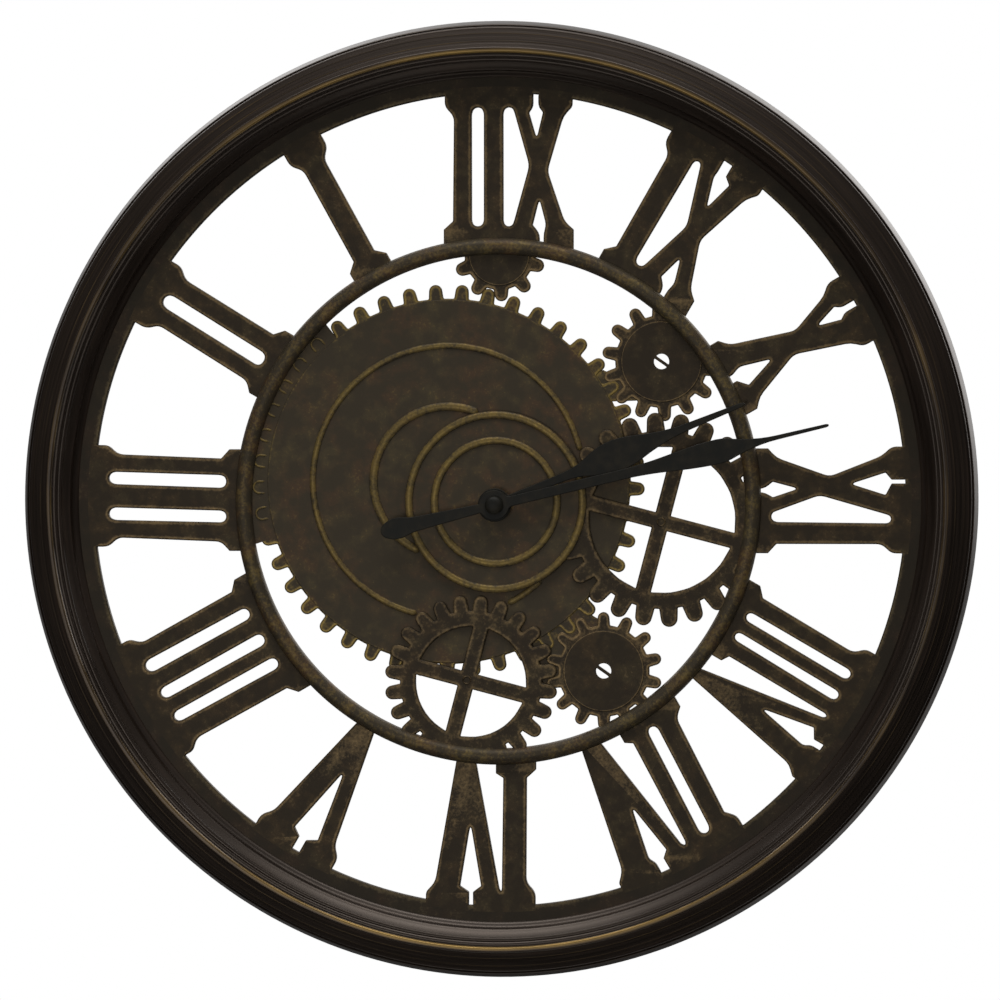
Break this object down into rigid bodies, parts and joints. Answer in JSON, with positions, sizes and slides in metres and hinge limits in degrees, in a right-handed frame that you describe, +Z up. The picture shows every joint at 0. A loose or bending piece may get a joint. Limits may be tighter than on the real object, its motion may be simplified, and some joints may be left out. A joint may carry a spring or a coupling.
{
  "type": "wall clock",
  "caption": "Round wall clock with a moulded ring frame around an open dial of cut-out Roman numerals and gears, two hands and a battery movement.",
  "frame": {"origin": "where the hook holds the top of the hanger's keyhole, in the plane of the wall", "axes": "+Z up, -Y out of the wall towards the room, +X to the right as seen from the room"},
  "size_m": [0.508, 0.045, 0.5079],
  "materials": {
    "frame": "dark brown, copper rubbed through on the edges",
    "bronze": "antique bronze paint, gold rubbed through on the edges",
    "hands": "satin black-green paint",
    "steel": "zinc plated",
    "brass": "plain",
    "black_plastic": "fine grain",
    "white_plastic": "moulded acetal",
    "rubber": "matt",
    "battery": "plain printed sleeve",
    "copper": "enamelled copper wire",
    "board": "solder mask"
  },
  "bodies": {
    "clock": {"frame_ring": "frame", "dial_flange": "bronze", "chapter_ring": "bronze", "numeral_12": "bronze", "numeral_1": "bronze", "numeral_2": "bronze", "numeral_3": "bronze", "numeral_4": "bronze", "numeral_5": "bronze", "numeral_6": "bronze", "numeral_7": "bronze", "numeral_8": "bronze", "numeral_9": "bronze", "numeral_10": "bronze", "numeral_11": "bronze", "main_gear": "bronze", "spoked_gear_right": "bronze", "spoked_gear_lower": "bronze", "small_gear_top": "bronze", "small_gear_upper": "bronze", "small_gear_under": "bronze", "hub_plate": "bronze", "dial_screw_1": "steel", "dial_screw_2": "steel", "dial_screw_3": "steel", "dial_screw_4": "steel", "dial_screw_5": "steel", "dial_screw_6": "steel", "hanger_plate": "steel", "hanger_screw_left": "steel", "hanger_screw_right": "steel", "movement_case": "black_plastic", "movement_cover": "black_plastic", "rubber_gasket": "rubber", "dial_washer": "brass", "hex_nut": "brass", "battery_contact_minus": "steel", "battery_contact_plus": "steel", "circuit_board": "board", "quartz_crystal": "steel", "stator": "steel", "coil": "copper"},
    "minute_train": {"minute_hand": "hands", "hand_cap": "hands", "minute_arbor": "steel"},
    "hour_train": {"hour_hand": "hands", "hour_wheel": "brass"},
    "transfer": {"transfer_wheel": "white_plastic"},
    "knob": {"setting_knob": "black_plastic"},
    "rotor": {"rotor": "steel"},
    "intermediate": {"intermediate_wheel": "white_plastic"},
    "second": {"second_wheel": "white_plastic"},
    "third": {"third_wheel": "white_plastic"},
    "centre": {"centre_wheel": "brass"},
    "battery": {"battery": "battery"}
  },
  "joints": [
    {"name": "minute_spin", "type": "hinge", "parent": "clock", "child": "minute_train", "pos_m": [-0.0011, 0, -0.24775], "axis": [0, -1, 0], "continuous": true},
    {"name": "hour_spin", "type": "hinge", "parent": "clock", "child": "hour_train", "pos_m": [-0.0011, 0, -0.24775], "axis": [0, -1, 0], "continuous": true},
    {"name": "transfer_spin", "type": "hinge", "parent": "clock", "child": "transfer", "pos_m": [0.0025, 0, -0.24152], "axis": [0, -1, 0], "continuous": true},
    {"name": "knob_spin", "type": "hinge", "parent": "clock", "child": "knob", "pos_m": [0.00125, 0, -0.23442], "axis": [0, -1, 0], "continuous": true},
    {"name": "rotor_spin", "type": "hinge", "parent": "clock", "child": "rotor", "pos_m": [0.01142, 0, -0.24837], "axis": [0, -1, 0], "continuous": true},
    {"name": "intermediate_spin", "type": "hinge", "parent": "clock", "child": "intermediate", "pos_m": [0.006, 0, -0.25034], "axis": [0, -1, 0], "continuous": true},
    {"name": "second_spin", "type": "hinge", "parent": "clock", "child": "second", "pos_m": [-0.0011, 0, -0.24775], "axis": [0, -1, 0], "continuous": true},
    {"name": "third_spin", "type": "hinge", "parent": "clock", "child": "third", "pos_m": [-0.01014, 0, -0.24616], "axis": [0, -1, 0], "continuous": true},
    {"name": "centre_spin", "type": "hinge", "parent": "clock", "child": "centre", "pos_m": [-0.0011, 0, -0.24775], "axis": [0, -1, 0], "continuous": true},
    {"name": "battery_slide", "type": "slide", "parent": "clock", "child": "battery", "axis": [0, 1, 0], "range_m": [0, 0.02]}
  ],
  "couplings": [
    {"joint": "hour_spin", "follows": "minute_spin", "ratio": 0.083333},
    {"joint": "transfer_spin", "follows": "minute_spin", "ratio": -0.33333},
    {"joint": "knob_spin", "follows": "minute_spin", "ratio": 1},
    {"joint": "intermediate_spin", "follows": "rotor_spin", "ratio": -0.2},
    {"joint": "second_spin", "follows": "rotor_spin", "ratio": 0.033333},
    {"joint": "third_spin", "follows": "rotor_spin", "ratio": -0.0044444},
    {"joint": "centre_spin", "follows": "rotor_spin", "ratio": 0.00055556}
  ]
}
